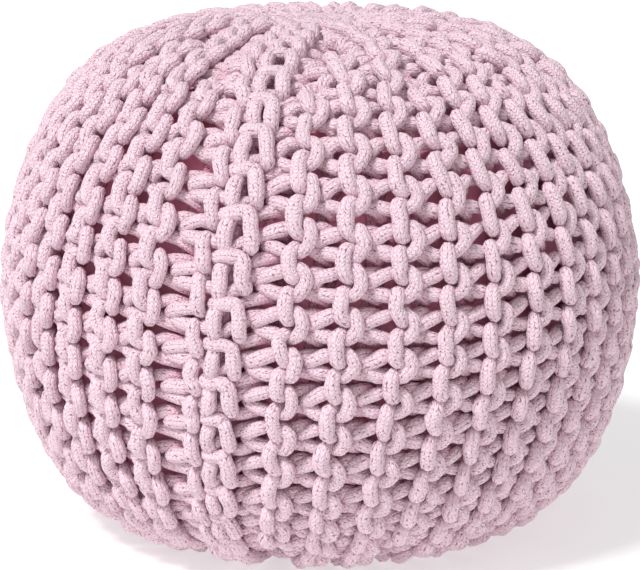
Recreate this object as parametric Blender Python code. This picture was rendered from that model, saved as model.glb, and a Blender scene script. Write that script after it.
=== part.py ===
"""A round knitted pouf: a thick cotton cord knitted sideways in garter stitch, so that its ridges run
up the sides like meridians, filled firm and standing on its own flattened base.

The cover and its filling are one closed solid. Its outer surface follows the crests of the knitted
ridges, the valleys between them are sunk in it, every third ridge runs on to the crown, and a laced
seam joins the two ends of the panel. The single stitches are too many and too fine for this solid.

Metres, +Z up, origin at the centre of the base. The front of the pouf faces -Y.
"""

import math

import bmesh
import bpy
import numpy as np

# Overall size, over the crests of the ridges
DIAMETER = 0.450
HEIGHT = 0.358
WIDEST_HEIGHT = 0.168       # height of the widest line above the floor
FOOT_SINK = 0.0025          # how much of the base the floor presses flat

# Fullness of the outline: (r / R) ** ROUND + (z / h) ** BELLY = 1, above and below the widest line
UPPER_ROUND, UPPER_BELLY = 4.09, 1.69
LOWER_ROUND, LOWER_BELLY = 5.70, 1.54

# Knitted ridges
RIDGE_COUNT = 42
RIDGE_DEPTH = 0.010         # crest to valley, one cord
CREST_WIDTH = 0.019         # two cords side by side, less their rounded edges
FLANK_WIDTH = 0.004
LEAN_DEG_PER_M = (          # (longitude, how much a ridge there leans as it rises)
    (-66.0, 9.0), (-30.0, 14.0), (0.0, 24.0), (60.0, 25.0), (180.0, 16.0), (294.0, 9.0),
)
LACING_HEIGHT_SHARE = 0.55  # the seam's lacing stands lower than a ridge

# Longitudes of the ridges on the front, in degrees from -Y towards +X, as unevenly as they are knitted
FRONT_RIDGES_DEG = (
    -65.7, -57.0, -48.3, -39.5, -31.2, -21.5, -14.4, -5.5,
    3.8, 13.2, 22.0, 30.5, 39.0, 47.6, 55.2, 63.5,
)
SEAM_RIDGE_DEG = -14.4      # the panel's first ridge, just right of the seam
LACING_DEG = -17.9          # the seam's lacing, left of that ridge

# Short rows: how far from the pole's centre each ridge of a wedge of three ends, along the surface
WEDGE_ENDS = (0.030, 0.154, 0.086)
END_FADE = 0.026            # length over which a ridge dies away
ENDED_SHARE = 0.10          # share of its room that an ended ridge keeps

# Crown
DIMPLE_RADIUS = 0.040
DIMPLE_DEPTH = 0.006

# Fineness
RING_SPACING = 0.0215
COLUMNS_PER_RIDGE = 4
CROWN_RING_RADII = (0.040, 0.026, 0.012)

KNIT_COLOUR = (0.86, 0.68, 0.74, 1.0)


def smooth_step(value):
    """0 below 0, 1 above 1, and a smooth rise between."""
    t = min(1.0, max(0.0, value))
    return t * t * (3.0 - 2.0 * t)


class Outline:
    """The pouf's half outline, from the edge of the flat foot to the centre of the crown."""

    def __init__(self):
        radius = DIAMETER / 2
        low = WIDEST_HEIGHT + FOOT_SINK
        high = HEIGHT - WIDEST_HEIGHT
        turns = np.linspace(-math.pi / 2, math.pi / 2, 4001)
        below = turns < 0
        cosine, sine = np.cos(turns).clip(0, 1), np.abs(np.sin(turns))
        r = radius * np.where(below, cosine ** (2 / LOWER_ROUND), cosine ** (2 / UPPER_ROUND))
        z = WIDEST_HEIGHT + np.where(
            below, -low * sine ** (2 / LOWER_BELLY), high * sine ** (2 / UPPER_BELLY))
        kept = z > 0.0
        self.foot_radius = float(np.interp(0.0, z, r))
        self.r = np.concatenate([[self.foot_radius], r[kept]])
        self.z = np.concatenate([[0.0], z[kept]])
        steps = np.hypot(np.diff(self.r), np.diff(self.z))
        self.s = np.concatenate([[0.0], np.cumsum(steps)])
        self.length = float(self.s[-1])
        self.widest_s = float(np.interp(WIDEST_HEIGHT, self.z, self.s))

    def at(self, s):
        """Radius and height at distance s from the foot's edge, and the outward normal there."""
        reach = 0.002
        r, z = np.interp(s, self.s, self.r), np.interp(s, self.s, self.z)
        dr = np.interp(s + reach, self.s, self.r) - np.interp(s - reach, self.s, self.r)
        dz = np.interp(s + reach, self.s, self.z) - np.interp(s - reach, self.s, self.z)
        size = math.hypot(dr, dz)
        return float(r), float(z), dz / size, -dr / size

    def s_at_crown_radius(self, radius):
        """Distance along the outline of the crown's ring of this radius."""
        crown = self.s > self.widest_s
        return float(np.interp(-radius, -self.r[crown], self.s[crown]))


def ridge_table():
    """One row for each ridge round the pouf: (longitude in degrees, place in its wedge, height share)."""
    front = list(FRONT_RIDGES_DEG)
    behind = RIDGE_COUNT - len(front)
    gap = (front[0] + 360.0 - front[-1]) / (behind + 1)
    longitudes = front + [front[-1] + gap * (i + 1) for i in range(behind)]
    first = longitudes.index(SEAM_RIDGE_DEG)
    in_order = longitudes[first:] + [lon + 360.0 for lon in longitudes[:first]]
    rows = [(lon, i % len(WEDGE_ENDS), 1.0) for i, lon in enumerate(in_order)]
    rows.append((LACING_DEG + 360.0, 0, LACING_HEIGHT_SHARE))
    return rows


def alive(place, s, outline):
    """How much of a ridge is left at distance s: 1 along the sides, 0 past its end at either pole."""
    end = WEDGE_ENDS[place]
    from_crown = outline.length - s
    from_base = s + outline.foot_radius
    nearest = min(from_crown, from_base)
    return smooth_step((nearest - end) / END_FADE + 0.5)


def lean_at(longitude):
    """How much a ridge at this longitude leans, in degrees for each metre it rises."""
    where, lean = zip(*LEAN_DEG_PER_M)
    if longitude > where[-1]:
        longitude -= 360.0
    return float(np.interp(longitude, where, lean))


def ring_columns(s, r, outline, rows):
    """(longitude in radians, depth below the crests) of each column of one ring."""
    lefts, rights = [], []
    for i, (lon, _, _) in enumerate(rows):
        before = rows[i - 1][0] - (360.0 if i == 0 else 0.0)
        after = rows[(i + 1) % len(rows)][0] + (360.0 if i == len(rows) - 1 else 0.0)
        lefts.append((lon + before) / 2)
        rights.append((lon + after) / 2)
    left_ridges = [alive(place, s, outline) for _, place, _ in rows]
    shares = [
        (right - left) * (ENDED_SHARE + (1 - ENDED_SHARE) * left_ridge)
        for left, right, left_ridge in zip(lefts, rights, left_ridges)
    ]
    scale = 360.0 / sum(shares)
    start = lefts[0]
    columns = []
    for i, (share, left_ridge, (lon, _, height)) in enumerate(zip(shares, left_ridges, rows)):
        own_place = (lon - lefts[i]) / (rights[i] - lefts[i])
        turn = lean_at(lon) * (s - outline.widest_s)
        middle = math.radians(start + share * scale * own_place + turn)
        room = 2 * min(own_place, 1 - own_place) * math.radians(share * scale)
        crest = min(CREST_WIDTH / 2 / r, 0.30 * room)
        valley = min(crest + FLANK_WIDTH / r, 0.45 * room)
        crest_depth = RIDGE_DEPTH * (1 - height * left_ridge)
        columns += [
            (middle - valley, RIDGE_DEPTH),
            (middle - crest, crest_depth),
            (middle + crest, crest_depth),
            (middle + valley, RIDGE_DEPTH),
        ]
        start += share * scale
    return columns


def crown_drop(r):
    """How far the gathered crown is drawn down at radius r."""
    if r >= DIMPLE_RADIUS:
        return 0.0
    return DIMPLE_DEPTH * math.cos(math.pi / 2 * r / DIMPLE_RADIUS) ** 2


def ring_points(s, outline, rows, depth_share):
    """The points of one ring, its ridges raised by depth_share of their full height."""
    r, z, normal_r, normal_z = outline.at(s)
    points = []
    for longitude, depth in ring_columns(s, r, outline, rows):
        inwards = depth * depth_share
        ring_r = r - normal_r * inwards
        ring_z = max(0.0, z - normal_z * inwards - crown_drop(r))
        points.append((ring_r * math.sin(longitude), -ring_r * math.cos(longitude), ring_z))
    return points


def ring_distances(outline):
    """Distances along the outline of all rings, from the foot's edge to the centre of the crown."""
    first_crown = outline.s_at_crown_radius(CROWN_RING_RADII[0])
    count = round(first_crown / RING_SPACING)
    sides = [first_crown * i / count for i in range(count)]
    return sides + [outline.s_at_crown_radius(radius) for radius in CROWN_RING_RADII]


def knitted_body(collection, material):
    """The filled cover: a sphere's rings and columns, each moved to its place on the knitted ridges."""
    outline = Outline()
    rows = ridge_table()
    distances = ring_distances(outline)
    columns = len(rows) * COLUMNS_PER_RIDGE
    rings = []
    for i, s in enumerate(distances):
        foot_fade = smooth_step(i / 3)
        crown_fade = smooth_step((len(distances) - i) / 3)
        rings.append(ring_points(s, outline, rows, foot_fade * crown_fade))
    top = (0.0, 0.0, HEIGHT - DIMPLE_DEPTH)

    mesh = bpy.data.meshes.new("knit_body")
    cage = bmesh.new()
    bmesh.ops.create_uvsphere(cage, u_segments=columns, v_segments=len(rings) + 1, radius=1.0)
    for point in cage.verts:
        ring = round((1 - math.acos(max(-1.0, min(1.0, point.co.z))) / math.pi) * (len(rings) + 1))
        column = round(math.atan2(point.co.x, -point.co.y) / (2 * math.pi) * columns) % columns
        if ring == 0:
            point.co = (0.0, 0.0, 0.0)
        elif ring > len(rings):
            point.co = top
        else:
            point.co = rings[ring - 1][column]
    bmesh.ops.triangulate(cage, faces=cage.faces[:])
    cage.to_mesh(mesh)
    cage.free()

    body = bpy.data.objects.new("knit_body", mesh)
    body.data.materials.append(material)
    body.data.shade_smooth()
    body.data.set_sharp_from_angle(angle=math.radians(55))
    collection.objects.link(body)
    return body


def cotton_cord():
    """Matt pale pink cotton."""
    material = bpy.data.materials.new("cotton_cord")
    material.use_nodes = True
    shader = material.node_tree.nodes["Principled BSDF"]
    shader.inputs["Base Color"].default_value = KNIT_COLOUR
    shader.inputs["Roughness"].default_value = 0.9
    shader.inputs["Metallic"].default_value = 0.0
    return material


def main():
    for old in list(bpy.data.objects):
        bpy.data.objects.remove(old)
    collection = bpy.data.collections.new("knitted_pouf")
    bpy.context.scene.collection.children.link(collection)
    knitted_body(collection, cotton_cord())


main()
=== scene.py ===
"""Looks of a round knitted pouf: thick cotton cord in garter stitch, its ridges running up the sides.

Every stitch is a real loop of cord. Each ridge is made of two rows of bars: the feet of one knitted row
on its left and the heads of the row before on its right, half a stitch apart. The legs of each row pass
under the other row's bars, cross the valley and loop round the next row's legs at the back. Three kinds
of ridge, long, medium and short, share the room towards the poles, and a laced seam closes the panel.

Metres, +Z up, origin at the centre of the base. The front faces -Y.
"""

import math

import bpy
import numpy as np
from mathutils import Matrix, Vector


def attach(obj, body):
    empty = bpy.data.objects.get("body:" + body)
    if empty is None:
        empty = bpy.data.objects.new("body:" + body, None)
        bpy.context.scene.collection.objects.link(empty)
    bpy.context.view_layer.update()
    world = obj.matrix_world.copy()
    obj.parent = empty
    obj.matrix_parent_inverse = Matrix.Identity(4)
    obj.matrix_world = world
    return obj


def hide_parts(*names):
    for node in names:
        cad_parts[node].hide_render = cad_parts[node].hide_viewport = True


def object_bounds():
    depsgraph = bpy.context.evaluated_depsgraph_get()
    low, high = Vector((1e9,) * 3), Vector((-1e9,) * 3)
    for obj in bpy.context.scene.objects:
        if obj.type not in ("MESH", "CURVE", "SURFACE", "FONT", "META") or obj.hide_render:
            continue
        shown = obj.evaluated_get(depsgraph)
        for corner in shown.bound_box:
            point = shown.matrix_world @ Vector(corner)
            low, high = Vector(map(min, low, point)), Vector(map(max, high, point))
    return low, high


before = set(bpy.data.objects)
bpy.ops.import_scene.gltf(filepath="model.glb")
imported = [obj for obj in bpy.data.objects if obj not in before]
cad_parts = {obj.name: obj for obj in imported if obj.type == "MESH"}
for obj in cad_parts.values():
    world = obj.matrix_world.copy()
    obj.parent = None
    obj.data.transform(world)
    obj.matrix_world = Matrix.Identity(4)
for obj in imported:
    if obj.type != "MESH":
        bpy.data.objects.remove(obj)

# Camera, at the photograph's viewing angle, and studio light
CAMERA_PLACE = (0.0, -1.9018, 0.6532)
CAMERA_AIM = (0.0, 0.0, 0.166)
CAMERA_LENS_MM = 156.0
SENSOR_MM = 36.0
SKY_STRENGTH = 0.44
SUN_STRENGTH = 2.7
SUN_ANGLE = math.radians(14)    # its apparent width, which makes the shadow soft
SUN_DIRECTION = (0.46, 0.46, -0.95)
FLOOR_COLOUR = (0.66, 0.66, 0.66)
FLOOR_GLOW = 0.48
FLOOR_REACH = 6.0

# Fullness of the outline: (r / R) ** ROUND + (z / h) ** BELLY = 1, above and below the widest line
UPPER_ROUND, UPPER_BELLY = 4.09, 1.69
LOWER_ROUND, LOWER_BELLY = 5.70, 1.54
WIDEST_SHARE = 0.47         # height of the widest line, as a share of the whole height
FOOT_SINK = 0.0025          # how much of the base the floor presses flat
DIMPLE_RADIUS = 0.040       # the crown is drawn down by its gathering cord
DIMPLE_DEPTH = 0.003
CROWN_BACK = 0.030          # its middle sits this far behind the axis

# Ridges, in degrees from -Y towards +X; those on the front are as uneven as they are knitted
FRONT_RIDGES_DEG = (
    -65.7, -57.0, -48.3, -39.5, -31.2, -21.5, -14.4, -5.5,
    3.8, 13.2, 22.0, 30.5, 39.0, 47.6, 55.2, 63.5,
)
SEAM_RIDGE_DEG = -14.4      # the panel's first ridge, just right of the seam
LACING_DEG = -17.9          # the panel's last ridge, left of the seam
RIDGE_COUNT = 42
LEAN_DEG_PER_M = (          # (longitude, how much a ridge there leans as it rises)
    (-65.0, 8.0), (-38.0, 10.0), (-31.0, 14.0), (-22.0, 13.0), (-14.9, 24.0),
    (60.0, 25.0), (180.0, 16.0), (295.0, 8.0),
)
MEASURED_FADE = (0.03, 0.15)    # the shifts below die out towards the poles: where, and over how far
MEASURED_AT = (             # distances from the base's centre of the columns of the two tables below
    0.24, 0.29, 0.34, 0.39, 0.44, 0.49, 0.53,
)
DRIFT_DEG = (               # (longitude, how far the ridges there stray sideways at those distances)
    (-180.0, 0.0, 0.0, 0.0, 0.0, 0.0, 0.0, 0.0),
    (-60.0, -2.0, -1.2, -0.6, -0.3, 0.3, 3.9, 2.4),
    (-38.0, -1.3, -0.8, -0.3, -0.4, 0.0, 2.4, 1.5),
    (-15.0, -0.6, -0.4, -0.1, -0.2, 0.0, 0.6, 0.5),
    (8.0, -0.1, -0.1, 0.1, 0.3, 0.2, -0.8, -0.3),
    (31.0, 0.3, 0.3, 0.6, 0.9, 0.2, -2.4, -1.2),
    (54.0, -0.4, 0.7, 1.6, 2.0, -0.2, -4.0, -2.0),
    (180.0, 0.0, 0.0, 0.0, 0.0, 0.0, 0.0, 0.0),
)
CLIMB_MM = (                # (longitude, how far the stitches there stand above their even places)
    (-180.0, 0.0, 0.0, 0.0, 0.0, 0.0, 0.0, 0.0),
    (-60.0, -12.9, -3.7, 3.8, 5.2, 8.8, 15.2, 15.6),
    (-38.0, -12.9, -5.9, -1.4, 0.8, 3.2, 8.3, 8.5),
    (-15.0, -11.7, -7.0, -4.0, 0.2, 1.9, 1.9, 1.8),
    (8.0, -9.0, -6.2, -4.4, -2.2, -0.6, 2.8, 2.8),
    (31.0, -5.2, -5.4, -4.8, -4.1, -1.2, 5.1, 5.6),
    (54.0, 1.8, -1.5, -3.8, -3.7, 1.9, 9.9, 10.3),
    (180.0, 0.0, 0.0, 0.0, 0.0, 0.0, 0.0, 0.0),
)
LONG, SHORT, MEDIUM = 0.022, 0.154, 0.086   # how far from the poles each kind of ridge ends
WEDGE = (LONG, SHORT, MEDIUM)
ROOM_FADE = 0.050           # length over which an ended ridge gives up its room
ENDED_SHARE = 0.10          # share of its room that an ended ridge keeps

# Stitches
CORD = 0.0097               # thickness of the cord
BAR_GAP = 0.0052            # each row of bars stands this far from its ridge's middle line
STITCH_LENGTHS = (          # (distance from the base's centre, length of a stitch there)
    (0.00, 0.0235), (0.24, 0.0250), (0.360, 0.0252), (0.390, 0.0251),
    (0.420, 0.0255), (0.500, 0.0252), (0.560, 0.0252), (0.72, 0.0265),
)
STITCH_AT = (4, 0.376)      # a ridge, and the distance from the base's centre of one of its stitches
END_SINK = 1.2              # how many cords a short ridge sinks by at its ends,
LONG_END_SINK = 0.20        # how many a long one does,
END_STITCHES = 1.8          # and over how many stitches
THINNED = 0.3               # how far the cord is drawn thin where a ridge is squeezed
NARROWEST = 0.45            # the most that a ridge is squeezed, as a share of its width
STITCH_UNEVEN = (0.025, 0.0005, 0.0002, 0.04)   # along (stitches), across, depth, thickness,
POINT_UNEVEN = (0.018, 0.0005, 0.0003, 0.05)    # for a whole stitch and for each of its points

# The gathering cord at each pole, a flat spiral
GATHER_TURNS = 2.4
GATHER_RADII = (0.0225, 0.003)      # outer and inner end of the spiral
GATHER_DEPTHS = (0.85, 0.60)        # how far it is sunk at those ends, in cords
GATHER_THICKNESS = 0.98
GATHER_POINTS = 26

# Fineness of the cord's mesh
CORD_SIDES = 8
LONGEST_STEP = 0.0075
WIDEST_TURN = math.radians(31)
BEHIND = (1.6, 2.1)         # from and to this depth in cords, fewer rings are kept,
BEHIND_SHARE = 0.45         # down to this share of them
WEDGES_PER_PIECE = 2

# The flat map of the cord's surface: rows to spare, and the part of a row's height that is filled
FLAT_SLACK = 1.02
FLAT_MARGIN, FLAT_FILL = 0.04, 0.92

# The filled inner bag, seen only between the stitches
LINING_DEPTH = 0.0215
POLE_LINING_DROP = 0.013    # it lies deeper where the crown and the base are gathered,
POLE_LINING_REACH = (0.16, 0.09)    # from and to these distances from their centres
LINING_COLUMNS, LINING_ROWS = 128, 72

# Looks
TUBE_COLUMNS = 9.0          # the cord's own fine stitches: columns round it, and length of a stitch
TUBE_STITCH = 0.0023
DEEPEST = 4.0               # depth in cords that the map of sunk cord is drawn to
CORD_COLOUR = (0.90, 0.68, 0.765)
# The next two colours are painted shade: the cord is drawn darker in the hollows between its fine stitches
# and in small random hollows of its surface
CORD_SHADE = (0.76, 0.48, 0.575)
PAINTED_HOLLOW_SHADE = (0.36, 0.20, 0.25)
PAINTED_DEEP_SHADE_TINT = (1.0, 0.64, 0.75)   # painted shade: the cord is drawn pinker deep in the knitting, standing in for light bounced between the pink cords
# Painted shade: the inner bag is a vivid rose so that the gaps between the stitches show a warm dusky
# shade
PAINTED_SHADE_LINING_COLOUR = (1.0, 0.40, 0.56)


def smooth_step(value):
    """0 below 0, 1 above 1, and a smooth rise between."""
    t = np.clip(value, 0.0, 1.0)
    return t * t * (3.0 - 2.0 * t)


class Outline:
    """The pouf's half outline over the crests, by distance from the centre of its base."""

    def __init__(self, low_corner, high_corner):
        radius = (high_corner.x - low_corner.x) / 2
        height = high_corner.z
        widest = WIDEST_SHARE * height
        turns = np.linspace(-math.pi / 2, math.pi / 2, 6001)
        below = turns < 0
        cosine, sine = np.cos(turns).clip(0, 1), np.abs(np.sin(turns))
        r = radius * np.where(below, cosine ** (2 / LOWER_ROUND), cosine ** (2 / UPPER_ROUND))
        z = widest + np.where(
            below,
            -(widest + FOOT_SINK) * sine ** (2 / LOWER_BELLY),
            (height - widest) * sine ** (2 / UPPER_BELLY),
        )
        kept = z > 0.0
        self.foot_radius = float(np.interp(0.0, z, r))
        self.r = np.concatenate([np.linspace(0, self.foot_radius, 400), r[kept]])
        self.z = np.concatenate([np.zeros(400), z[kept]])
        steps = np.hypot(np.diff(self.r), np.diff(self.z))
        self.s = np.concatenate([[0.0], np.cumsum(steps)])
        self.length = float(self.s[-1])
        self.widest_s = float(np.interp(widest, self.z[:-1000], self.s[:-1000]))
        self.crown = self.s > self.widest_s

    def at(self, s):
        """Radius and height at the distances s, and the outward normal there."""
        reach = 0.004
        r, z = np.interp(s, self.s, self.r), np.interp(s, self.s, self.z)
        dr = np.interp(s + reach, self.s, self.r) - np.interp(s - reach, self.s, self.r)
        dz = np.interp(s + reach, self.s, self.z) - np.interp(s - reach, self.s, self.z)
        size = np.hypot(dr, dz)
        return r, z, dz / size, -dr / size

    def place(self, longitude, s, depth):
        """Points at these longitudes and distances, sunk by depth below the crests.

        The crown's gathered middle is drawn back and down, and carries the knitting with it."""
        longitude, s, depth = np.broadcast_arrays(longitude, s, depth)
        r = self.at(s)[0]
        drawn = CROWN_BACK * (1 - smooth_step((r / self.r.max()) ** 2)) * (s > self.widest_s)
        x, y = r * np.sin(longitude), drawn - r * np.cos(longitude)
        moved = np.interp(-np.hypot(x, y), -self.r[self.crown], self.s[self.crown])
        new_r, z, normal_r, normal_z = self.at(np.where(drawn > 0, moved, s))
        inside = (r < DIMPLE_RADIUS) & (drawn > 0)
        z = z - np.where(inside, DIMPLE_DEPTH * np.cos(math.pi / 2 * r / DIMPLE_RADIUS) ** 2, 0.0)
        inner_r = np.maximum(0.002, new_r - normal_r * depth)
        turned = np.arctan2(x, -y)
        return np.stack([
            inner_r * np.sin(turned), -inner_r * np.cos(turned), z - normal_z * depth], axis=-1)


class Ridges:
    """Where each ridge runs, how far up it lives and where its stitches are."""

    def __init__(self, outline):
        self.outline = outline
        front = list(FRONT_RIDGES_DEG)
        behind = RIDGE_COUNT - len(front)
        gap = (front[0] + 360.0 - front[-1]) / (behind + 1)
        longitudes = front + [front[-1] + gap * (i + 1) for i in range(behind)]
        first = longitudes.index(SEAM_RIDGE_DEG)
        ordered = longitudes[first:] + [lon + 360.0 for lon in longitudes[:first]]
        self.lon = np.array(ordered + [LACING_DEG + 360.0])
        wedges = [WEDGE[i % len(WEDGE)] for i in range(RIDGE_COUNT - 1)]
        self.ends = np.array(wedges + [LONG, LONG])
        self.grid = np.linspace(0.004, outline.length - 0.004, 700)
        self.tracks = np.radians(self.spread(self.grid))
        self.fine = np.linspace(0.0, outline.length, 3000)
        self.counts = self.count_stitches()

    def spread(self, s):
        """Longitude in degrees of every ridge at each distance s."""
        before = np.concatenate([[self.lon[-1] - 360.0], self.lon[:-1]])
        after = np.concatenate([self.lon[1:], [self.lon[0] + 360.0]])
        left, right = (self.lon + before) / 2, (self.lon + after) / 2
        nearest = np.minimum(s, self.outline.length - s)
        alive = smooth_step((nearest[:, None] - self.ends[None, :]) / ROOM_FADE + 0.5)
        shares = (right - left) * (ENDED_SHARE + (1 - ENDED_SHARE) * alive)
        shares *= 360.0 / shares.sum(axis=1, keepdims=True)
        place = left[0] + np.cumsum(shares, axis=1) - shares * (right - self.lon) / (right - left)
        where, lean = np.array(LEAN_DEG_PER_M).T
        turned = np.where(self.lon > where[-1], self.lon - 360.0, self.lon)
        drift = np.stack([self.measured(DRIFT_DEG, lon, s) for lon in self.lon], axis=-1)
        return place + drift + np.interp(turned, where, lean) * (s - self.outline.widest_s)[:, None]

    def measured(self, table, longitude, s):
        """A measured shift at this longitude in degrees and the distances s, dying out at the poles."""
        where, *columns = np.array(table).T
        turned = (longitude + 180.0) % 360.0 - 180.0
        shift = np.interp(s, MEASURED_AT, [np.interp(turned, where, column) for column in columns])
        start, reach = MEASURED_FADE
        return shift * smooth_step((np.minimum(s, self.outline.length - s) - start) / reach)

    def count_stitches(self):
        """Stitches counted along the outline, so that STITCH_AT names the middle of one."""
        where, length = np.array(STITCH_LENGTHS).T
        steps = np.diff(self.fine) / np.interp(self.fine[1:], where, length)
        counts = np.concatenate([[0.0], np.cumsum(steps)])
        ridge, s = STITCH_AT
        return counts - np.interp(s, self.fine, counts) - ridge / RIDGE_COUNT

    def s_at(self, ridge, count):
        """Distance from the base's centre of a (fractional) stitch of a ridge.

        The knitting climbs by one stitch round the whole pouf."""
        s = np.interp(count - ridge / RIDGE_COUNT, self.counts, self.fine)
        return s + self.measured(CLIMB_MM, self.lon[ridge % len(self.lon)], s) / 1000

    def lon_at(self, ridge, s):
        """Longitude in radians of a ridge's middle line, counted on past the ends of the table.

        The seam's two ridges have one row of bars each, and that row stands on their track."""
        turns, index = divmod(ridge, len(self.lon))
        track = np.interp(s, self.grid, self.tracks[:, index]) + 2 * math.pi * turns
        shift = BAR_GAP / np.maximum(self.outline.at(s)[0], 0.03)
        return track + shift * ((index == RIDGE_COUNT - 1) - float(index == 0))

    def lives(self, ridge, s):
        """Whether a ridge is still knitted at distance s."""
        index = ridge % len(self.lon)
        return index < RIDGE_COUNT and min(s, self.outline.length - s) > self.ends[index]

    def to_neighbour(self, ridge, count, step):
        """Distance from a ridge to its live neighbour on the right (step 1) or left (-1)."""
        s = min(max(float(self.s_at(ridge, count)), 1.1 * LONG), self.outline.length - 1.1 * LONG)
        others = (ridge + step * i for i in range(1, 6))
        other = next(other for other in others if self.lives(other, s))
        r = float(self.outline.at(s)[0])
        return abs(float(self.lon_at(other, s) - self.lon_at(ridge, s))) * r

    def valley(self, ridge, count, step):
        """Half the distance to that neighbour, but never less than the loops need."""
        return max(1.4 * CORD, self.to_neighbour(ridge, count, step) / 2)

    def squeeze(self, ridge, counts):
        """How much narrower a ridge is drawn where the poles leave it too little room."""
        numbers = np.arange(math.floor(counts.min()), math.ceil(counts.max()) + 1)
        room = [(self.to_neighbour(ridge, n, 1) + self.to_neighbour(ridge, n, -1)) / 2 for n in numbers]
        full_width = 2 * BAR_GAP + 1.05 * CORD
        return np.clip(np.interp(counts, numbers, room) / full_width, NARROWEST, 1.0)

    def seam(self, count):
        """Distance between the bars of the seam's two ridges."""
        s = float(self.s_at(0, count))
        r = float(self.outline.at(s)[0])
        last = RIDGE_COUNT - 1 - len(self.lon)
        return float(self.lon_at(0, s) - self.lon_at(last, s)) * r + 2 * BAR_GAP

    def stitches(self, ridge):
        """First and last stitch number of a ridge."""
        low = np.interp(self.ends[ridge], self.fine, self.counts)
        high = np.interp(self.outline.length - self.ends[ridge], self.fine, self.counts)
        return math.ceil(low + ridge / RIDGE_COUNT), math.floor(high + ridge / RIDGE_COUNT - 0.6)


# One stitch of each row, going up the ridge. Columns: along the ridge (in stitches), across (bar gaps),
# across (cords), across (half valleys), across (seam widths), depth of the cord's middle (cords), and
# thickness of the squeezed cord. Each row runs up its bars, and its legs cross the valley in pairs: the
# right row's over the left row's of the ridge before, and round behind them.
LEFT_ROW = (
    (0.00, -1.02, 0.00, 0.00, 0.0, 0.47, 1.10),
    (0.21, -1.10, 0.00, 0.00, 0.0, 0.52, 1.06),
    (0.325, -0.86, 0.00, 0.00, 0.0, 0.72, 0.98),
    (0.35, -0.05, 0.00, 0.00, 0.0, 1.12, 0.88),
    (0.31, 1.00, 0.00, 0.00, 0.0, 1.42, 0.84),
    (0.25, 1.00, 0.70, 0.00, 0.0, 1.48, 0.92),
    (0.10, 0.00, 0.00, 1.15, 0.0, 1.90, 0.94),
    (0.02, -1.00, -0.85, 2.00, 0.0, 2.20, 0.88),
    (0.12, -1.00, -0.80, 2.00, 0.0, 2.45, 0.85),
    (0.33, -1.00, -0.85, 2.00, 0.0, 2.50, 0.90),
    (0.56, -1.00, -0.80, 2.00, 0.0, 2.45, 0.85),
    (0.66, -1.00, -0.85, 2.00, 0.0, 2.20, 0.88),
    (0.70, 0.00, 0.00, 1.15, 0.0, 1.90, 0.94),
    (0.76, 1.00, 0.70, 0.00, 0.0, 1.48, 0.92),
    (0.69, 1.00, 0.00, 0.00, 0.0, 1.42, 0.84),
    (0.635, 0.30, 0.00, 0.00, 0.0, 1.12, 0.88),
    (0.655, -0.38, 0.00, 0.00, 0.0, 0.72, 0.98),
    (0.77, -0.84, 0.00, 0.00, 0.0, 0.50, 1.06),
)
RIGHT_ROW = (
    (-0.10, 1.00, 0.85, -2.00, 0.0, 2.45, 0.90),
    (0.20, 1.00, 0.80, -2.00, 0.0, 2.40, 0.85),
    (0.34, 1.00, 0.90, -2.00, 0.0, 2.05, 0.88),
    (0.345, 0.00, 0.00, -1.15, 0.0, 1.50, 0.95),
    (0.25, -1.00, -0.70, 0.00, 0.0, 1.12, 0.98),
    (0.22, -1.00, 0.00, 0.00, 0.0, 1.40, 0.84),
    (0.195, 0.28, 0.00, 0.00, 0.0, 0.90, 0.92),
    (0.32, 0.98, 0.00, 0.00, 0.0, 0.58, 0.96),
    (0.49, 1.32, 0.00, 0.00, 0.0, 0.50, 0.96),
    (0.68, 1.18, 0.00, 0.00, 0.0, 0.54, 0.95),
    (0.815, 0.70, 0.00, 0.00, 0.0, 0.72, 0.92),
    (0.85, -0.10, 0.00, 0.00, 0.0, 1.14, 0.86),
    (0.81, -1.00, 0.00, 0.00, 0.0, 1.42, 0.84),
    (0.77, -1.00, -0.70, 0.00, 0.0, 1.08, 0.98),
    (0.62, 0.00, 0.00, -1.15, 0.0, 1.22, 1.00),
    (0.48, 1.00, 0.85, -2.00, 0.0, 1.80, 0.90),
    (0.60, 1.00, 0.75, -2.00, 0.0, 2.35, 0.85),
)

# The seam: straight bars on its two ridges, each of the first ridge's heads turned off to the left as a
# rung; that ridge's feet stand in the middle under the rungs, and the last ridge's heads reach under them
FIRST_LEFT_ROW = (
    (0.30, 1.00, 0.00, 0.00, -0.18, 1.32, 0.90),
    (0.22, 1.00, 0.00, 0.00, -0.36, 1.22, 0.92),
    (0.10, 1.00, 0.00, 0.00, -0.46, 1.00, 0.98),
    (0.20, 1.00, 0.00, 0.00, -0.54, 0.72, 1.04),
    (0.42, 1.00, 0.00, 0.00, -0.56, 0.58, 1.08),
    (0.64, 1.00, 0.00, 0.00, -0.55, 0.62, 1.06),
    (0.80, 1.00, 0.00, 0.00, -0.53, 0.98, 0.98),
    (0.90, 1.00, 0.00, 0.00, -0.46, 1.55, 0.88),
    (0.88, 1.00, 0.00, 0.00, -0.22, 1.75, 0.86),
    (0.93, 1.00, 0.00, 0.00, 0.00, 1.70, 0.85),
    (1.04, 1.00, 0.70, 0.00, 0.0, 1.42, 0.92),
    (1.10, 0.00, 0.00, 1.15, 0.0, 1.90, 0.94),
    (1.02, -1.00, -0.85, 2.00, 0.0, 2.20, 0.88),
    (1.12, -1.00, -0.80, 2.00, 0.0, 2.45, 0.85),
    (1.33, -1.00, -0.85, 2.00, 0.0, 2.50, 0.90),
    (1.56, -1.00, -0.80, 2.00, 0.0, 2.45, 0.85),
    (1.66, -1.00, -0.85, 2.00, 0.0, 2.20, 0.88),
    (1.70, 0.00, 0.00, 1.15, 0.0, 1.90, 0.94),
    (1.62, 1.00, 0.70, 0.00, 0.0, 1.42, 0.92),
    (1.44, 1.00, 0.00, 0.00, 0.00, 1.52, 0.85),
)
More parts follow.
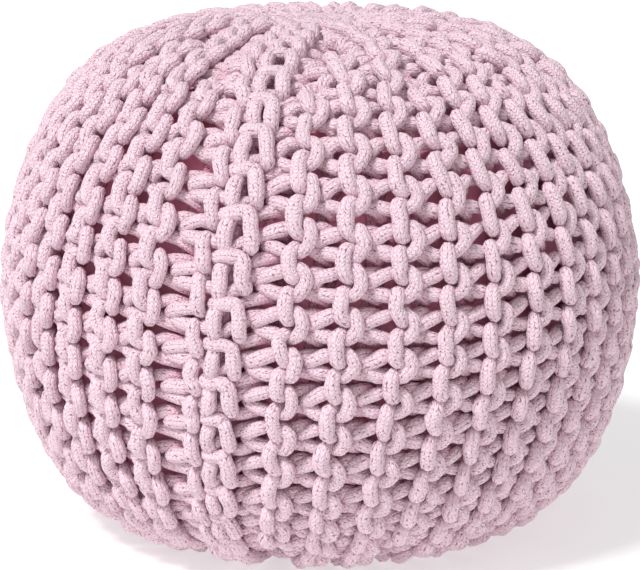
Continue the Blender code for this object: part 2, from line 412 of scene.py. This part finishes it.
FIRST_RIGHT_ROW = (
    (0.02, 1.00, 0.00, 0.00, -0.30, 2.30, 0.85),
    (0.12, 1.00, 0.00, 0.00, -0.08, 1.95, 0.85),
    (0.15, 1.10, 0.00, 0.00, 0.0, 1.26, 0.92),
    (0.20, 1.30, 0.00, 0.00, 0.0, 0.74, 1.00),
    (0.36, 1.24, 0.00, 0.00, 0.0, 0.52, 1.06),
    (0.62, 1.00, 0.00, 0.00, 0.0, 0.50, 1.08),
    (0.82, 0.80, 0.00, 0.00, 0.0, 0.54, 1.06),
    (0.92, 0.30, 0.00, 0.00, 0.0, 0.62, 1.02),
    (0.94, 1.00, 0.00, 0.00, -0.30, 0.66, 1.02),
    (0.93, 1.00, 0.00, 0.00, -0.52, 0.68, 1.02),
    (0.89, 1.00, 0.00, 0.00, -0.68, 0.95, 0.96),
    (0.92, 1.00, 0.00, 0.00, -0.70, 1.60, 0.88),
    (0.98, 1.00, 0.00, 0.00, -0.50, 2.20, 0.85),
)
LAST_LEFT_ROW = (
    (0.00, -1.00, 0.00, 0.00, 0.0, 0.50, 1.05),
    (0.15, -1.16, 0.00, 0.00, 0.0, 0.50, 1.04),
    (0.31, -1.22, 0.00, 0.00, 0.0, 0.70, 1.00),
    (0.37, -0.90, 0.00, 0.00, 0.0, 1.30, 0.90),
    (0.38, -1.00, 0.00, 0.00, 0.22, 1.90, 0.85),
    (0.50, -1.00, 0.00, 0.00, 0.40, 2.30, 0.85),
    (0.62, -1.00, 0.00, 0.00, 0.22, 1.90, 0.85),
    (0.63, -0.50, 0.00, 0.00, 0.0, 1.30, 0.90),
    (0.69, -0.66, 0.00, 0.00, 0.0, 0.70, 1.00),
    (0.85, -0.84, 0.00, 0.00, 0.0, 0.50, 1.04),
)
LAST_RIGHT_ROW = (
    (-0.10, 1.00, 0.85, -2.00, 0.0, 2.45, 0.90),
    (0.20, 1.00, 0.80, -2.00, 0.0, 2.40, 0.85),
    (0.34, 1.00, 0.90, -2.00, 0.0, 2.05, 0.88),
    (0.345, 0.00, 0.00, -1.15, 0.0, 1.50, 0.95),
    (0.30, -1.00, -0.70, 0.00, 0.0, 1.12, 0.98),
    (0.30, -1.00, 0.00, 0.00, 0.0, 1.42, 0.85),
    (0.27, -1.00, 0.00, 0.00, 0.20, 1.12, 0.98),
    (0.24, -1.00, 0.00, 0.00, 0.34, 1.40, 0.92),
    (0.34, -1.00, 0.00, 0.00, 0.52, 1.80, 0.88),
    (0.56, -1.00, 0.00, 0.00, 0.54, 1.90, 0.88),
    (0.68, -1.00, 0.00, 0.00, 0.34, 1.95, 0.88),
    (0.70, -1.00, 0.00, 0.00, 0.18, 1.70, 0.90),
    (0.66, -1.00, 0.00, 0.00, 0.0, 1.45, 0.85),
    (0.69, -1.00, -0.70, 0.00, 0.0, 1.08, 0.98),
    (0.60, 0.00, 0.00, -1.15, 0.0, 1.25, 1.00),
    (0.48, 1.00, 0.85, -2.00, 0.0, 1.80, 0.90),
    (0.60, 1.00, 0.75, -2.00, 0.0, 2.35, 0.85),
)


def row_points(ridges, ridge, numbers, table, step, rng):
    """Control points of one knitted row of a ridge for these stitches, going up.

    Each is (along in stitches, across in metres, depth, thickness)."""
    table = np.array(table)
    points = []
    for number in numbers:
        half = ridges.valley(ridge, number + 0.5, step) if table[:, 3].any() else 0.0
        width = ridges.seam(number + 0.5) if table[:, 4].any() else 0.0
        across = table[:, 1] * BAR_GAP + table[:, 2] * CORD + table[:, 3] * half + table[:, 4] * width
        loop = np.stack([table[:, 0] + number, across, table[:, 5] * CORD, table[:, 6]], axis=-1)
        loop += rng.normal(size=4) * STITCH_UNEVEN + rng.normal(size=(len(loop), 4)) * POINT_UNEVEN
        points.append(loop)
    return np.concatenate(points)


def ridge_strand(ridges, ridge, rng):
    """Points and thickness of the cord of one ridge: up its right row, over its end, down its left."""
    left_row, right_row = LEFT_ROW, RIGHT_ROW
    if ridge == 0:
        left_row, right_row = FIRST_LEFT_ROW, FIRST_RIGHT_ROW
    if ridge == RIDGE_COUNT - 1:
        left_row, right_row = LAST_LEFT_ROW, LAST_RIGHT_ROW
    first, last = ridges.stitches(ridge)
    right = row_points(ridges, ridge, range(first, last + 1), right_row, -1, rng)
    left = row_points(ridges, ridge, range(first - 1, last + 1), left_row, 1, rng)
    right = right[right[:, 0] <= last + 0.80]
    left = left[(left[:, 0] >= first - 0.52) & (left[:, 0] <= last + 0.26)]
    gap = BAR_GAP
    turn = np.array([
        (last + 0.96, gap * 0.5, 0.72 * CORD, 1.0),
        (last + 0.97, gap * -0.5, 0.80 * CORD, 1.0),
        (last + 0.76, gap * -1.0, 0.68 * CORD, 1.0),
        (last + 0.50, gap * -1.1, 0.58 * CORD, 1.0),
    ])
    strand = np.concatenate([right, turn, left[::-1]])
    from_end = np.minimum(strand[:, 0] - first + 0.5, last + 1.0 - strand[:, 0])
    sunk = strand[:, 2] / CORD
    sink = END_SINK if ridges.ends[ridge] > LONG else LONG_END_SINK
    strand[:, 2] += sink * CORD * smooth_step(1.0 - from_end / END_STITCHES)
    s = ridges.s_at(ridge, strand[:, 0])
    r = ridges.outline.at(s)[0]
    squeeze = ridges.squeeze(ridge, strand[:, 0])
    longitude = ridges.lon_at(ridge, s) + strand[:, 1] * squeeze / np.maximum(r, 0.012)
    thickness = strand[:, 3] * (1 - THINNED * (1 - squeeze))
    return ridges.outline.place(longitude, s, strand[:, 2]), thickness, sunk


def gather_strand(outline, at_crown):
    """The drawn-tight gathering cord that closes one pole: a flat spiral."""
    way = np.linspace(0.0, 1.0, GATHER_POINTS)
    angle = way * 2 * math.pi * GATHER_TURNS
    outer, inner = GATHER_RADII
    from_pole = outer * (1 - way) + inner * way
    s = outline.length - from_pole if at_crown else from_pole
    sunk = GATHER_DEPTHS[0] * (1 - way) + GATHER_DEPTHS[1] * way
    return outline.place(angle, s, sunk * CORD), np.full(len(way), GATHER_THICKNESS), sunk


def smooth_curve(points, values, per_span=8):
    """A smooth curve through the points (centripetal Catmull-Rom), with values carried along."""
    knots = np.maximum(np.linalg.norm(np.diff(points, axis=0), axis=1) ** 0.5, 1e-4)[:, None]
    slopes = np.diff(points, axis=0) / knots
    tangents = np.empty_like(points)
    tangents[1:-1] = (slopes[1:] * knots[:-1] + slopes[:-1] * knots[1:]) / (knots[1:] + knots[:-1])
    tangents[0], tangents[-1] = slopes[0], slopes[-1]
    t = (np.arange(per_span) / per_span)[None, :, None]
    start, end = points[:-1, None], points[1:, None]
    leave, arrive = (tangents[:-1] * knots)[:, None], (tangents[1:] * knots)[:, None]
    curve = (
        (2 * t ** 3 - 3 * t ** 2 + 1) * start + (t ** 3 - 2 * t ** 2 + t) * leave
        + (3 * t ** 2 - 2 * t ** 3) * end + (t ** 3 - t ** 2) * arrive
    )
    carried = values[:-1, None] * (1 - t) + values[1:, None] * t
    curve = np.concatenate([curve.reshape(-1, 3), points[-1:]])
    return curve, np.concatenate([carried.reshape(-1, values.shape[1]), values[-1:]])


def ring_places(curve, values):
    """Chooses the curve's points that carry rings: closer together where it bends, fewer behind."""
    step = np.diff(curve, axis=0)
    size = np.linalg.norm(step, axis=1)
    along = step / size[:, None]
    turn = np.zeros(len(size))
    turn[1:] = np.arccos(np.clip((along[1:] * along[:-1]).sum(axis=1), -1, 1))
    behind = smooth_step((values[1:, 1] - BEHIND[0]) / (BEHIND[1] - BEHIND[0]))
    share = 1 - (1 - BEHIND_SHARE) * behind
    need = np.concatenate([[0.0], np.cumsum((size / LONGEST_STEP + turn / WIDEST_TURN) * share)])
    wanted = np.linspace(0.0, need[-1], max(3, int(math.ceil(need[-1])) + 1))
    places = np.stack([np.interp(wanted, need, line) for line in curve.T], axis=-1)
    return places, np.stack([np.interp(wanted, need, line) for line in values.T], axis=-1)


def tube_rings(places, radii):
    """Ring points round a line of places, turned as little as possible from ring to ring."""
    tangents = np.gradient(places, axis=0)
    tangents /= np.linalg.norm(tangents, axis=1)[:, None]
    side = np.cross(tangents[0], (0.3, 0.5, 0.8))
    sides = []
    for tangent in tangents:
        side = side - tangent * side.dot(tangent)
        side /= math.sqrt(side.dot(side))
        sides.append(side)
    sides = np.array(sides)
    others = np.cross(tangents, sides)
    angles = np.arange(CORD_SIDES) * 2 * math.pi / CORD_SIDES
    ring = np.cos(angles)[None, :, None] * sides[:, None] + np.sin(angles)[None, :, None] * others[:, None]
    return places[:, None] + ring * radii[:, None, None]


def fill_mesh(mesh, corners, quads, caps):
    """Fills a mesh with smooth quads and end caps."""
    mesh.vertices.add(len(corners))
    mesh.vertices.foreach_set("co", corners.astype(np.float32).ravel())
    mesh.loops.add(quads.size + caps.size)
    mesh.loops.foreach_set("vertex_index", np.concatenate([quads.ravel(), caps.ravel()]).astype(np.int32))
    mesh.polygons.add(len(quads) + len(caps))
    begins = np.concatenate([
        np.arange(len(quads)) * 4, quads.size + np.arange(len(caps)) * CORD_SIDES,
    ])
    mesh.polygons.foreach_set("loop_start", begins.astype(np.int32))
    mesh.update(calc_edges=True)
    mesh.polygons.foreach_set("use_smooth", np.ones(len(mesh.polygons), dtype=bool))


def add_map(mesh, name, quad_places, cap_places):
    """Adds a map of the quads' corners and then of the caps' corners."""
    layer = mesh.uv_layers.new(name=name)
    places = np.concatenate([quad_places.reshape(-1, 2), cap_places.reshape(-1, 2)])
    layer.data.foreach_set("uv", places.astype(np.float32).ravel())


def flat_places(strips, run, cap_shape, cap_count):
    """The cord's surface laid out in rows, for a map without overlaps: its quads, then its caps."""
    rows = int(math.ceil(math.sqrt(run / (math.pi * CORD) * FLAT_SLACK))) + 1
    row_length = run / rows * 1.0001
    cell = 1.0 / (rows + 1)
    row = np.floor(strips[:, 0, 0] / row_length)
    across = (strips[..., 0] - row[:, None] * row_length) / (row_length + 2 * LONGEST_STEP)
    up = (row[:, None] + FLAT_MARGIN + FLAT_FILL * strips[..., 1]) / (rows + 1)
    cap_middles = np.stack([
        (np.arange(cap_count) + 0.5) / cap_count, np.full(cap_count, 1 - cell / 2)], axis=-1)
    return np.stack([across, up], axis=-1), cap_shape[None] * 0.3 * cell + cap_middles[:, None]


def cord_mesh(name, strands, material):
    """One piece of cord mesh from its strands, with maps of its length, its depth and its surface."""
    corners, quads, caps = [], [], []
    cord_places, sunk_places, strips = [], [], []
    run = 0.0
    base = 0
    for points, thickness, sunk in strands:
        curve, values = smooth_curve(points, np.stack([thickness, sunk], axis=-1))
        places, values = ring_places(curve, values)
        rings = tube_rings(places, values[:, 0] * CORD / 2)
        rings[..., 2] = np.maximum(rings[..., 2], 0.0)      # the floor presses the lowest cords flat
        length = np.concatenate([[0.0], np.cumsum(np.linalg.norm(np.diff(places, axis=0), axis=1))])
        corners.append(rings.reshape(-1, 3))
        i, j = np.meshgrid(np.arange(len(rings) - 1), np.arange(CORD_SIDES), indexing="ij")
        following = (j + 1) % CORD_SIDES
        quads.append(base + np.stack([
            i * CORD_SIDES + j, i * CORD_SIDES + following,
            (i + 1) * CORD_SIDES + following, (i + 1) * CORD_SIDES + j,
        ], axis=-1).reshape(-1, 4))
        along = np.stack([length[i], length[i], length[i + 1], length[i + 1]], axis=-1)
        around = np.stack([j, j + 1, j + 1, j], axis=-1) / CORD_SIDES
        cord_places.append(np.stack([along, around], axis=-1).reshape(-1, 4, 2))
        sunk = values[:, 1] / DEEPEST
        sunk = np.stack([sunk[i], sunk[i], sunk[i + 1], sunk[i + 1]], axis=-1)
        sunk_places.append(np.stack([sunk, around], axis=-1).reshape(-1, 4, 2))
        strips.append(np.stack([along + run, around], axis=-1).reshape(-1, 4, 2))
        circle = np.arange(CORD_SIDES)
        caps += [circle[::-1] + base, circle + base + (len(rings) - 1) * CORD_SIDES]
        run += length[-1] + 2 * CORD
        base += rings.shape[0] * CORD_SIDES
    caps = np.array(caps)
    mesh = bpy.data.meshes.new(name)
    fill_mesh(mesh, np.concatenate(corners), np.concatenate(quads), caps)

    angles = np.arange(CORD_SIDES) * 2 * math.pi / CORD_SIDES
    cap_shape = np.stack([np.cos(angles), np.sin(angles)], axis=-1)
    cap_cord = np.tile(cap_shape * CORD / 2, (len(caps), 1, 1))
    add_map(mesh, "cord", np.concatenate(cord_places), cap_cord)
    add_map(mesh, "sunk", np.concatenate(sunk_places), np.full((len(caps), CORD_SIDES, 2), 0.5))
    add_map(mesh, "OFBake", *flat_places(np.concatenate(strips), run, cap_shape, len(caps)))
    mesh.uv_layers.active = mesh.uv_layers["cord"]
    mesh.materials.append(material)
    piece = bpy.data.objects.new(name, mesh)
    bpy.context.scene.collection.objects.link(piece)
    return piece


def finish_piece(piece):
    """Puts a piece on the pouf's one body, in the place of its plain solid."""
    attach(piece, "root")
    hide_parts("knit_body")


def principled(name):
    material = bpy.data.materials.new(name)
    material.use_nodes = True
    return material, material.node_tree, material.node_tree.nodes["Principled BSDF"]


def math_node(tree, operation, *values):
    """A math node fed with sockets or numbers."""
    node = tree.nodes.new("ShaderNodeMath")
    node.operation = operation
    for socket, value in zip(node.inputs, values):
        if isinstance(value, bpy.types.NodeSocket):
            tree.links.new(value, socket)
        else:
            socket.default_value = value
    return node.outputs[0]


def cord_noise(tree, place, scale, detail=2.0):
    noise = tree.nodes.new("ShaderNodeTexNoise")
    noise.inputs["Scale"].default_value = scale
    noise.inputs["Detail"].default_value = detail
    tree.links.new(place, noise.inputs["Vector"])
    return noise.outputs["Fac"]


def cord_material():
    """Matt pale pink cotton cord, itself knitted as a fine tube: columns of small slanting stitches, with
    painted shade in their hollows and deep in the knitting.
    """
    material, tree, shader = principled("cotton_cord")
    shader.inputs["Roughness"].default_value = 0.9
    shader.inputs["Specular IOR Level"].default_value = 0.25
    shader.inputs["Sheen Weight"].default_value = 0.12
    shader.inputs["Sheen Roughness"].default_value = 0.5

    cord_map = tree.nodes.new("ShaderNodeUVMap")
    cord_map.uv_map = "cord"
    parts = tree.nodes.new("ShaderNodeSeparateXYZ")
    tree.links.new(cord_map.outputs["UV"], parts.inputs["Vector"])
    along, around = parts.outputs["X"], parts.outputs["Y"]
    place = tree.nodes.new("ShaderNodeCombineXYZ")
    tree.links.new(along, place.inputs["X"])
    tree.links.new(math_node(tree, "MULTIPLY", around, math.pi * CORD), place.inputs["Y"])
    place = place.outputs["Vector"]

    rough = cord_noise(tree, place, 260.0)
    wander = math_node(tree, "MULTIPLY", math_node(tree, "SUBTRACT", rough, 0.5), 0.9)
    column = math_node(tree, "ADD", math_node(tree, "MULTIPLY", around, TUBE_COLUMNS), wander)
    middle = math_node(tree, "ABSOLUTE", math_node(
        tree, "SUBTRACT", math_node(tree, "FRACT", column), 0.5))
    slant = math_node(tree, "ADD", math_node(tree, "DIVIDE", along, TUBE_STITCH), math_node(
        tree, "MULTIPLY", middle, 1.3))
    stitch = math_node(tree, "ABSOLUTE", math_node(tree, "SINE", math_node(
        tree, "MULTIPLY", slant, math.pi)))
    wale = math_node(tree, "SUBTRACT", 1.0, math_node(tree, "POWER", math_node(
        tree, "MULTIPLY", middle, 2.0), 3.0))
    height = math_node(tree, "MULTIPLY", math_node(tree, "POWER", stitch, 0.6), wale)
    fuzz = cord_noise(tree, place, 900.0)
    relief = math_node(tree, "ADD", math_node(tree, "MULTIPLY", height, 0.75), math_node(
        tree, "MULTIPLY", fuzz, 0.45))
    bump = tree.nodes.new("ShaderNodeBump")
    bump.inputs["Strength"].default_value = 0.85
    bump.inputs["Distance"].default_value = 0.0011
    tree.links.new(relief, bump.inputs["Height"])
    tree.links.new(bump.outputs["Normal"], shader.inputs["Normal"])

    # Painted shade: the colour falls from the cord's own pink to shade in the hollows between the fine
    # stitches and in small random hollows of its surface
    pit_shade = cord_noise(tree, place, 520.0)
    lightness = math_node(tree, "ADD", height, math_node(
        tree, "MULTIPLY", math_node(tree, "SUBTRACT", pit_shade, 0.42), 4.5))
    shade = tree.nodes.new("ShaderNodeValToRGB")
    stops = shade.color_ramp.elements
    stops[0].position, stops[0].color = 0.0, (*PAINTED_HOLLOW_SHADE, 1.0)
    stops[1].position, stops[1].color = 0.55, (*CORD_COLOUR, 1.0)
    between = stops.new(0.22)
    between.color = (*CORD_SHADE, 1.0)
    tree.links.new(lightness, shade.inputs["Fac"])

    # Painted shade: the deeper the cord lies, the more its colour is multiplied towards a pinker tint
    sunk_map = tree.nodes.new("ShaderNodeUVMap")
    sunk_map.uv_map = "sunk"
    sunk = tree.nodes.new("ShaderNodeSeparateXYZ")
    tree.links.new(sunk_map.outputs["UV"], sunk.inputs["Vector"])
    deep = tree.nodes.new("ShaderNodeMapRange")
    deep.interpolation_type = "SMOOTHSTEP"
    deep.inputs["From Min"].default_value = 1.2 / DEEPEST
    deep.inputs["From Max"].default_value = 2.5 / DEEPEST
    tree.links.new(sunk.outputs["X"], deep.inputs["Value"])
    painted_deep_shade = tree.nodes.new("ShaderNodeMix")
    painted_deep_shade.data_type = "RGBA"
    painted_deep_shade.blend_type = "MULTIPLY"
    colours = [socket for socket in painted_deep_shade.inputs if socket.type == "RGBA"]
    tree.links.new(deep.outputs["Result"], painted_deep_shade.inputs[0])
    tree.links.new(shade.outputs["Color"], colours[0])
    colours[1].default_value = (*PAINTED_DEEP_SHADE_TINT, 1.0)
    colour = next(socket for socket in painted_deep_shade.outputs if socket.type == "RGBA")
    tree.links.new(colour, shader.inputs["Base Color"])
    return material


def painted_shade_lining_material():
    """The rose cloth that shows in the gaps of the knitting, its vivid colour painted shade for those
    gaps.
    """
    material, _, shader = principled("lining_cloth_painted_shade")
    shader.inputs["Base Color"].default_value = (*PAINTED_SHADE_LINING_COLOUR, 1.0)
    shader.inputs["Roughness"].default_value = 0.95
    return material


def lining(outline, material):
    """The filled inner bag, seen only between the stitches, where its colour is painted shade."""
    columns, rows = LINING_COLUMNS, LINING_ROWS
    s = np.linspace(0.0, outline.length, rows)
    longitudes = np.arange(columns) * 2 * math.pi / columns
    far, near = POLE_LINING_REACH
    drop = POLE_LINING_DROP * smooth_step((far - np.minimum(s, outline.length - s)) / (far - near))
    rings = outline.place(longitudes[None, :], s[1:-1, None], (LINING_DEPTH + drop)[1:-1, None])
    corners = [tuple(p) for p in rings.reshape(-1, 3)]
    corners += [tuple(rings[0].mean(axis=0)), tuple(rings[-1].mean(axis=0))]
    faces = []
    for i in range(rows - 3):
        for j in range(columns):
            k = (j + 1) % columns
            faces.append((i * columns + j, i * columns + k, (i + 1) * columns + k, (i + 1) * columns + j))
    bottom, top = len(corners) - 2, len(corners) - 1
    last = (rows - 3) * columns
    for j in range(columns):
        k = (j + 1) % columns
        faces.append((bottom, k, j))
        faces.append((top, last + j, last + k))
    mesh = bpy.data.meshes.new("inner_bag")
    mesh.from_pydata(corners, [], faces)
    mesh.shade_smooth()
    mesh.materials.append(material)
    piece = bpy.data.objects.new("inner_bag", mesh)
    bpy.context.scene.collection.objects.link(piece)
    return piece


def camera():
    data = bpy.data.cameras.new("camera")
    data.lens = CAMERA_LENS_MM
    data.sensor_width = SENSOR_MM
    holder = bpy.data.objects.new("camera", data)
    bpy.context.scene.collection.objects.link(holder)
    holder.location = CAMERA_PLACE
    holder.rotation_euler = (Vector(CAMERA_AIM) - Vector(CAMERA_PLACE)).to_track_quat("-Z", "Y").to_euler()
    bpy.context.scene.camera = holder


def studio():
    """A pale floor under even white light and a soft sun, high in front on the left."""
    scene = bpy.context.scene
    scene.view_settings.view_transform = "Standard"
    world = bpy.data.worlds.new("studio")
    world.use_nodes = True
    background = world.node_tree.nodes["Background"]
    background.inputs["Color"].default_value = (1.0, 1.0, 1.0, 1.0)
    background.inputs["Strength"].default_value = SKY_STRENGTH
    scene.world = world
    sun = bpy.data.lights.new("key", "SUN")
    sun.energy = SUN_STRENGTH
    sun.angle = SUN_ANGLE
    lamp = bpy.data.objects.new("key", sun)
    lamp.rotation_euler = Vector(SUN_DIRECTION).to_track_quat("-Z", "Y").to_euler()
    scene.collection.objects.link(lamp)
    mesh = bpy.data.meshes.new("floor")
    corners = [(x * FLOOR_REACH, y * FLOOR_REACH, 0.0) for x, y in ((-1, -1), (1, -1), (1, 1), (-1, 1))]
    mesh.from_pydata(corners, [], [(0, 1, 2, 3)])
    material, _, shader = principled("floor")
    shader.inputs["Base Color"].default_value = (*FLOOR_COLOUR, 1.0)
    shader.inputs["Roughness"].default_value = 0.9
    shader.inputs["Emission Color"].default_value = (1.0, 1.0, 1.0, 1.0)
    shader.inputs["Emission Strength"].default_value = FLOOR_GLOW
    mesh.materials.append(material)
    floor = bpy.data.objects.new("floor", mesh)
    bpy.context.scene.collection.objects.link(floor)


def main():
    camera()
    low_corner, high_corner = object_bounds()
    outline = Outline(low_corner, high_corner)
    ridges = Ridges(outline)
    rng = np.random.default_rng(11)
    cotton = cord_material()
    per_piece = len(WEDGE) * WEDGES_PER_PIECE
    for number in range(RIDGE_COUNT // per_piece):
        strands = [
            ridge_strand(ridges, ridge, rng)
            for ridge in range(number * per_piece, (number + 1) * per_piece)
        ]
        finish_piece(cord_mesh(f"knitted_panel_{number + 1}", strands, cotton))
    gathers = [gather_strand(outline, at_crown) for at_crown in (True, False)]
    finish_piece(cord_mesh("gathering_cord", gathers, cotton))
    bag = lining(outline, painted_shade_lining_material())
    finish_piece(bag)
    studio()


main()
